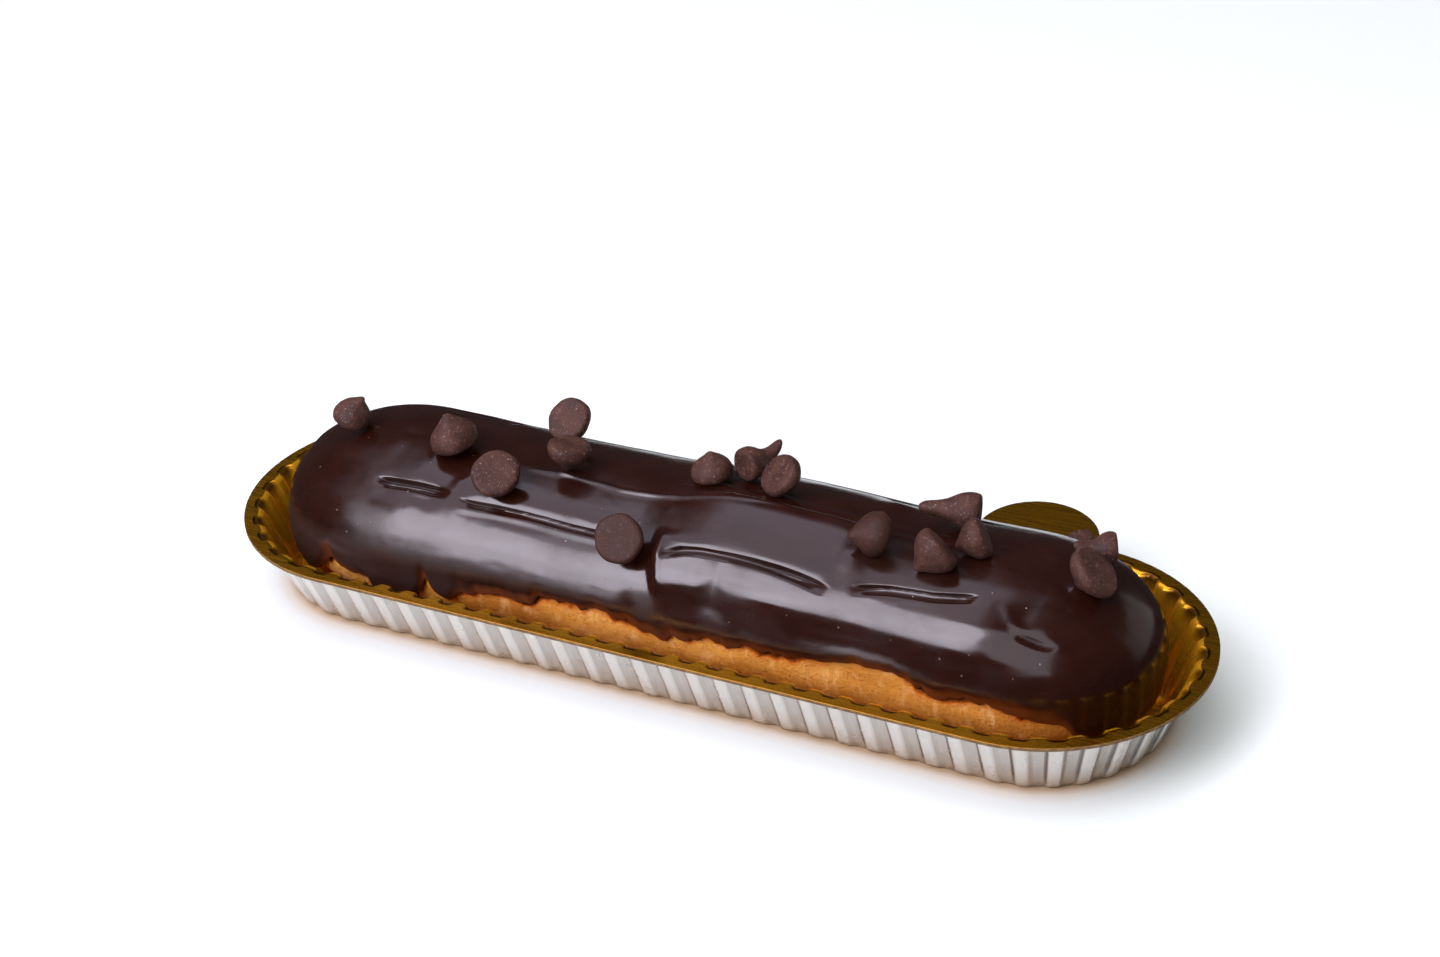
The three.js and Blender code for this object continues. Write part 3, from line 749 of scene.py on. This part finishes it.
def icing_mesh():
    """The coat: its smooth underside, its thin edge all round, and its face up to the crown."""
    stops = walk(CORE, np.arange(232) / 232, np.arange(84) / 84, np.arange(110) / 110)
    edge = edge_latitude(stops)
    chips = packed_chips()
    rings = []
    thin = []
    matt = []
    for latitude in (90, 75, 60, 45, 30, 15, 0, -15, -30, -90):
        rings.append(skin(stops, np.maximum(latitude, edge), ICING))
        thin.append(np.zeros_like(edge))
        matt.append(np.zeros_like(edge))
    for drop, depth in ((0.5, 1.18), (0.9, 1.08), (1.0, 0.98), (0.7, 0.88), (0.3, 0.8)):
        rings.append(skin(stops, edge - drop, depth))
        thin.append(np.ones_like(edge))
        matt.append(np.ones_like(edge))
    # Close rows where the folds lie, and more open ones over the flank and the crown.
    rows = np.concatenate([
        np.arange(0.6, 9, 0.7), np.arange(9, 38, 1.1), np.arange(38, 63, 0.4),
        np.arange(63, 76, 1.0), np.arange(76, 86, 0.5), np.arange(86, 90.1, 1),
    ])
    for row in rows:
        latitude = row + edge * max(1 - row / 38, 0)
        plain = skin(stops, latitude, 0)
        taper = 0.75 * (1 - smooth(latitude - edge, -1, 7))
        marks, seam = strokes(plain, latitude)
        lift = (marks + flow(plain)) * smooth(latitude - edge, 0, 12)
        risen = drawn_up(plain, chips) if latitude.max() > 20 else 0
        rings.append(skin(stops, latitude, taper - lift - risen))
        ragged = latitude - edge - 4 * lumps(plain, 3.0, 14)
        thin.append(1 - smooth(ragged, 0.5, 6.5))
        # It is matt along its edge, at the foot of the first stroke and the step, and in the folds.
        x = plain[..., 0]
        by_edge = 0.7 * (1 - smooth(latitude - edge, 3, 13))
        by_left = (1 - smooth(latitude, 6, 18)) * (1 - smooth(x, -8, 4))
        by_step = bell(x, -0.5, 2.0) * (1 - smooth(latitude, 18, 26))
        matt.append(np.maximum.reduce([by_edge, by_left, by_step, seam]))
    fondant = surface("set_chocolate_icing", set_chocolate_icing)
    return skinned("icing_coat", rings, [fondant], values={"thin": thin, "matt": matt})


icing = icing_mesh()
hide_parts("icing")

# ---- Bubbles in the icing ----
# Air beaten into the fondant rises while it is wet and sets as tiny blisters under a thin film of
# sugar, which catch the light as pale points.


def sugar_blister(tree):
    """A dried film of sugar over air: paler and greyer than the icing, and as glossy."""
    place = add(tree, "TexCoord").outputs["Object"]
    film = add(tree, "TexNoise", {"Vector": place, "Scale": every(0.2)})
    dried = add(tree, "MapRange", [film, 0.4, 0.6, 0, 1])
    return add(tree, "BsdfPrincipled", {
        "Base Color": add(tree, "Mix", [dried, "#5a4038", "#8f7a70"], data_type="RGBA"),
        "Roughness": 0.22,
        "IOR": 1.48,
    })


def bubbles_mesh():
    """Small balls sunk into the icing's face, ten at set places and the rest scattered."""
    rng = np.random.default_rng(11)
    spots = [
        (10.2, 38), (11.3, 57.5), (9.2, 67), (4.2, 63), (-11.3, 64.5), (-4.7, 61), (-35, 80.5),
        (-58.8, 44.5), (52.9, 19.5), (-14.5, 41.5),
    ]
    spots += [(rng.uniform(-56, 58), rng.uniform(14, 84)) for _ in range(36)]
    corners = [v.co / MM for v in icing.data.vertices]
    face = BVHTree.FromPolygons(corners, [f.vertices[:] for f in icing.data.polygons])
    work = bmesh.new()
    for x, latitude in spots:
        place, facing, _, _ = face.find_nearest(front_point(x, latitude))
        radius = rng.uniform(0.07, 0.15)
        middle = Matrix.Translation((place - facing * 0.4 * radius) * MM)
        bmesh.ops.create_icosphere(work, subdivisions=2, radius=radius * MM, matrix=middle)
    mesh = bpy.data.meshes.new("icing_bubbles")
    work.to_mesh(mesh)
    work.free()
    return piece("icing_bubbles", mesh, [surface("sugar_blister", sugar_blister)])


bubbles_mesh()

# ---- Chocolate chips ----
# Drops of dark chocolate deposited on a belt, so each has a flat base, a rounded shoulder and a
# tip drawn to one side as the nozzle left it. They are scattered on the icing while it is wet.

# Half of a plump and of a drawn chip's outline from the middle of its base to its tip, as shares
# of radius and height.
PLUMP_OUTLINE = [
    (0.0, 0.02), (0.3, 0.012), (0.6, 0.0), (0.8, 0.0), (0.9, 0.012), (0.96, 0.05), (1.0, 0.13),
    (1.01, 0.2), (1.0, 0.29), (0.96, 0.38), (0.89, 0.47), (0.78, 0.56), (0.65, 0.65),
    (0.5, 0.74), (0.37, 0.82), (0.27, 0.89), (0.19, 0.945), (0.1, 0.985), (0.0, 1.0),
]
DRAWN_OUTLINE = [
    (0.0, 0.015), (0.3, 0.01), (0.6, 0.0), (0.8, 0.0), (0.9, 0.01), (0.96, 0.035), (1.0, 0.09),
    (1.01, 0.16), (0.98, 0.24), (0.91, 0.32), (0.8, 0.39), (0.68, 0.46), (0.57, 0.54),
    (0.49, 0.62), (0.43, 0.7), (0.39, 0.79), (0.35, 0.87), (0.28, 0.93), (0.16, 0.98), (0.0, 1.0),
]
# Chips in order from the left end: which way the tip points as heading and pitch in degrees,
# its radius and height in millimetres, how far its tip curls upwards, and its outline.
CHIPS = [
    (25, 72, 2.9, 4.4, 1.0, PLUMP_OUTLINE),
    (190, 77, 3.5, 5.2, 0, PLUMP_OUTLINE),
    (122, -55, 3.5, 3.9, 0, PLUMP_OUTLINE),
    (86, -45, 3.3, 4.2, 0, PLUMP_OUTLINE),
    (229, -77, 3.1, 4.2, 0, PLUMP_OUTLINE),
    (102, -44, 3.5, 3.7, 0, PLUMP_OUTLINE),
    (180, 85, 3.1, 3.9, 0, PLUMP_OUTLINE),
    (62, -4, 2.5, 6.7, 1.9, DRAWN_OUTLINE),
    (49, -45, 3.2, 4.0, 0, PLUMP_OUTLINE),
    (217, 25, 3.0, 4.8, -1.3, PLUMP_OUTLINE),
    (219, -38, 3.2, 5.1, 0, PLUMP_OUTLINE),
    (204, -24, 2.8, 4.4, 0, PLUMP_OUTLINE),
    (194, 2, 2.7, 8.6, 0, DRAWN_OUTLINE),
    (90, 20, 2.5, 3.9, 0, PLUMP_OUTLINE),
    (206, 2, 2.2, 5.8, 0.7, DRAWN_OUTLINE),
    (189, -50, 3.6, 4.2, 0, PLUMP_OUTLINE),
]


def dark_chocolate_chip(tree):
    """Tempered dark chocolate that has rubbed about in its bag: matt and grey-brown with a bloom
    of fat, paler where it is scuffed, and pricked with chocolate dust. Painted shade darkens some
    chips all over."""
    place = add(tree, "TexCoord").outputs["Object"]
    bloom = add(tree, "TexNoise", {
        "Vector": place, "Scale": every(2.4), "Detail": 3, "Roughness": 0.55,
    })
    scuffs = add(tree, "TexNoise", {
        "Vector": place, "Scale": every(0.5), "Detail": 4, "Roughness": 0.65,
    })
    # Real dust is finer, and is drawn as coarse as it needs to show.
    dust = add(tree, "TexNoise", {"Vector": place, "Scale": every(0.22)})
    # Painted shade that darkens a whole chip.
    fresh = add(tree, "Attribute", attribute_name="fresh").outputs["Fac"]
    bloomed = add(tree, "MapRange", [bloom, 0.35, 0.65, 0, 1])
    body = add(tree, "Mix", [bloomed, "#311a14", "#44281f"], data_type="RGBA")
    rubbed = add(tree, "MapRange", [scuffs, 0.55, 0.70, 0, 0.6])
    scuffed = add(tree, "Mix", [rubbed, body, "#6b4b40"], data_type="RGBA")
    specks = add(tree, "MapRange", [dust, 0.68, 0.74, 0, 0.75])
    dusted = add(tree, "Mix", [specks, scuffed, "#b0948a"], data_type="RGBA")
    uneven = add(tree, "Bump", {"Height": bloom, "Distance": 0.10 * MM})
    return add(tree, "BsdfPrincipled", {
        "Base Color": add(tree, "Mix", [fresh, dusted, "#2a1206"], data_type="RGBA"),
        "Roughness": add(tree, "MapRange", [bloom, 0.3, 0.7, 0.6, 0.72]),
        "Specular IOR Level": 0.3,
        "Normal": add(tree, "Bump", {
            "Height": scuffs, "Distance": 0.05 * MM, "Normal": uneven,
        }),
    })


chip_material = surface("dark_chocolate_chip", dark_chocolate_chip)


def chip_mesh(number, heading, pitch, radius, height, curl, outline):
    """One chip, turned from its outline, dented, tipped over and set in its solid's box."""
    around = np.linspace(0, 2 * math.pi, 48, endpoint=False)
    rings = []
    for reach, lift in outline:
        wobble = 1 + 0.03 * np.sin(2 * around + number) + 0.015 * np.sin(5 * around + 2 * number)
        r = reach * radius * wobble
        bend = curl * (max(lift - 0.45, 0) / 0.55) ** 2
        z = np.full_like(around, lift * height)
        rings.append(np.stack([r * np.cos(around), r * np.sin(around) + bend, z], axis=-1))
    rings = np.array(rings)
    seeded = rings + np.array([number * 31.0, 0, 0])
    bumps = 0.10 * lumps(seeded, 1.6, 21) + 0.03 * lumps(seeded, 0.6, 22)
    outward = rings - np.array([0, 0, 0.4 * height])
    outward /= np.maximum(np.linalg.norm(outward, axis=-1, keepdims=True), 1e-6)
    rings = rings + outward * bumps[..., None]

    level = math.cos(math.radians(pitch))
    turn = math.radians(heading)
    tip = Vector((level * math.cos(turn), level * math.sin(turn), math.sin(math.radians(pitch))))
    up = Vector((tip.x, tip.y, 0)) if abs(tip.z) > 0.95 else Vector((0, 0, 1))
    up = (up - tip * up.dot(tip)).normalized()
    placed = rings @ np.array([up.cross(tip), up, tip])
    low, high = (np.array(corner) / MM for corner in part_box(f"chip_{number:02d}"))
    placed += (low + high) / 2 - (placed.min(axis=(0, 1)) + placed.max(axis=(0, 1))) / 2
    # Two of them are darkened all over by painted shade.
    fresh = np.full(placed.shape[:2], 0.6 if number in (6, 10) else 0.0)
    name = f"chocolate_chip_{number:02d}"
    return skinned(name, placed, [chip_material], values={"fresh": fresh})


for number, shape in enumerate(CHIPS, 1):
    chip = chip_mesh(number, *shape)
    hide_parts(f"chip_{number:02d}")

# ---- Table top ----
# A white laminate top that runs on behind the tray. It is matt, with just enough polish to
# pick up the tray's foot, and a shadow is painted beside the foot.


def white_laminate(tree):
    """Melamine laminate: an even cool white with a faint gloss, and a warm painted shadow beside the
    tray's foot.
    """
    place = add(tree, "TexCoord").outputs["Object"]
    axes = add(tree, "SeparateXYZ", [place]).outputs
    # How far the white runs from the middle line of the tray.
    width = add(tree, "Math", [axes["X"]], operation="ABSOLUTE")
    past_core = add(tree, "Math", [width, TRAY_HALF_CORE * MM], operation="SUBTRACT")
    held = add(tree, "Math", [past_core, 0.0], operation="MAXIMUM")
    corner = add(tree, "CombineXYZ", {"X": held, "Y": axes["Y"]})
    from_middle = add(tree, "VectorMath", [corner], operation="LENGTH")
    # A shadow and a warm reflection of the tray's foot are painted on the white beside it.
    beside_foot = add(tree, "MapRange", [from_middle, 18 * MM, 30 * MM, 0, 1])
    white_with_painted_foot_shadow = add(tree, "ValToRGB", [beside_foot], stops=[
        (0.0, "#b39a7c"), (0.1, "#ccc4b7"), (0.24, "#d6d9d4"), (0.55, "#dfe5e0"), (1.0, "#e4eae6"),
    ])
    # Foil and icing mirror the white in an oval round a point 60 mm behind the tray's middle and
    # 12 mm to its left, and close before the tray. Past these it fades to dark in the mirror.
    narrow = 1.2
    oval = add(tree, "VectorMath", [
        place, (narrow, 1.0, 1.0), (narrow * 12 * MM, -60 * MM, 0.0),
    ], operation="MULTIPLY_ADD")
    from_behind = add(tree, "VectorMath", [oval], operation="LENGTH")
    behind = add(tree, "MapRange", [from_behind, 60 * MM, 80 * MM, 1.0, 0.0])
    near_front = add(tree, "MapRange", [from_middle, 25 * MM, 33 * MM, 1.0, 0.0])
    in_front = add(tree, "MapRange", [axes["Y"], -5 * MM, 5 * MM, 1.0, 0.0])
    before = add(tree, "Math", [near_front, in_front], operation="MULTIPLY")
    kept = add(tree, "Math", [behind, before], operation="MAXIMUM")
    faded = add(tree, "Math", [1.0, kept], operation="SUBTRACT")
    mirrored = add(tree, "LightPath").outputs["Is Glossy Ray"]
    share = add(tree, "Math", [mirrored, faded], operation="MULTIPLY")
    white = add(tree, "BsdfPrincipled", {"Base Color": white_with_painted_foot_shadow, "Roughness": 0.3})
    dark = add(tree, "BsdfDiffuse", {"Color": "#2c2a2b"})
    return add(tree, "MixShader", [share, white, dark])


def table_top():
    """One square of top, far wider than the view."""
    mesh = bpy.data.meshes.new("table_top")
    half = 3.0
    corners = [(-half, -half, 0), (half, -half, 0), (half, half, 0), (-half, half, 0)]
    mesh.from_pydata(corners, [], [(0, 1, 2, 3)])
    mesh.materials.append(surface("white_laminate", white_laminate))
    made = bpy.data.objects.new("table_top", mesh)
    bpy.context.scene.collection.objects.link(made)


table_top()

# ---- Light and camera ----
# One large softbox high over the front left gives the icing its long sheen, brightest in its
# middle and dimmer round its rim. A lamp overhead lights the crown, and a wide ceiling fills the
# shadows without showing in the icing.

OVER_FRONT_LEFT = (-0.35, -0.66, 0.57)
OVERHEAD = (-0.38, 0.05, 1.0)


def panel(name, direction, distance, size, radiance, colour, mirrored=True):
    """A flat light that looks at the eclair from a direction, with an even radiance over its face.
    Its distance and its width and height are in metres. Foil and icing show it if mirrored."""
    light = bpy.data.lights.new(name, "AREA")
    light.shape = "RECTANGLE"
    light.size, light.size_y = size
    light.energy = radiance * math.pi * size[0] * size[1]
    light.color = linear(colour)[:3]
    made = bpy.data.objects.new(name, light)
    toward = Vector(direction).normalized()
    made.location = toward * distance
    made.rotation_mode = "QUATERNION"
    made.rotation_quaternion = toward.to_track_quat("Z", "Y")
    made.visible_glossy = mirrored
    bpy.context.scene.collection.objects.link(made)


panel("softbox", OVER_FRONT_LEFT, 0.9, (0.46, 0.68), 6.6, "#f6f1ff")
panel("softbox_core", OVER_FRONT_LEFT, 0.89, (0.2, 0.3), 1.8, "#f6f1ff")
panel("softbox_rim", OVER_FRONT_LEFT, 0.91, (0.52, 0.76), 3.2, "#f6f1ff")
panel("ceiling_lamp", OVERHEAD, 1.5, (1.45, 0.85), 1.4, "#f0eaff")
panel("ceiling_glow", OVERHEAD, 1.52, (1.7, 1.25), 0.5, "#f0eaff")
panel("fill_panel", (0.20, -0.68, 0.66), 0.95, (0.5, 0.75), 2.0, "#f6f1ff")
panel("ceiling", (0.0, 0.2, 1.0), 1.8, (5.6, 5.6), 0.82, "#ffffff", mirrored=False)
panel("front_wall", (0.3, -0.95, 0.3), 1.4, (1.6, 1.0), 0.35, "#fffaf4", mirrored=False)
panel("side_card", (0.72, 0.66, 0.20), 1.0, (0.8, 0.6), 0.45, "#ffffff")

world = bpy.data.worlds.new("dim_room")
world.use_nodes = True
room = world.node_tree.nodes["Background"].inputs
room["Color"].default_value = linear("#e8ebf2")
room["Strength"].default_value = 0.06
bpy.context.scene.world = world
bpy.context.scene.view_settings.view_transform = "Standard"

# The camera stands to the right of the front and looks down at a point behind the eclair. Its
# distance from there is in metres.
AZIMUTH = math.radians(28.08)
ELEVATION = math.radians(31.58)
ROLL = math.radians(-3.88)
TARGET = Vector((-8.96, 23.91, 10.0)) * MM
DISTANCE = 0.36975
FOCAL_LENGTH = 60.43

camera_data = bpy.data.cameras.new("camera")
camera_data.sensor_fit = "HORIZONTAL"
camera_data.sensor_width = 36.0
camera_data.lens = FOCAL_LENGTH
camera_data.clip_start = 0.01
camera_data.clip_end = 20.0
camera = bpy.data.objects.new("camera", camera_data)
bpy.context.scene.collection.objects.link(camera)
back = Vector((
    math.sin(AZIMUTH) * math.cos(ELEVATION),
    -math.cos(AZIMUTH) * math.cos(ELEVATION),
    math.sin(ELEVATION),
))
level = (-back).cross(Vector((0, 0, 1))).normalized()
upright = level.cross(-back)
right = level * math.cos(ROLL) + upright * math.sin(ROLL)
above = upright * math.cos(ROLL) - level * math.sin(ROLL)
turned = Matrix((right, above, back)).transposed()
camera.matrix_world = Matrix.Translation(TARGET + back * DISTANCE) @ turned.to_4x4()
bpy.context.scene.camera = camera
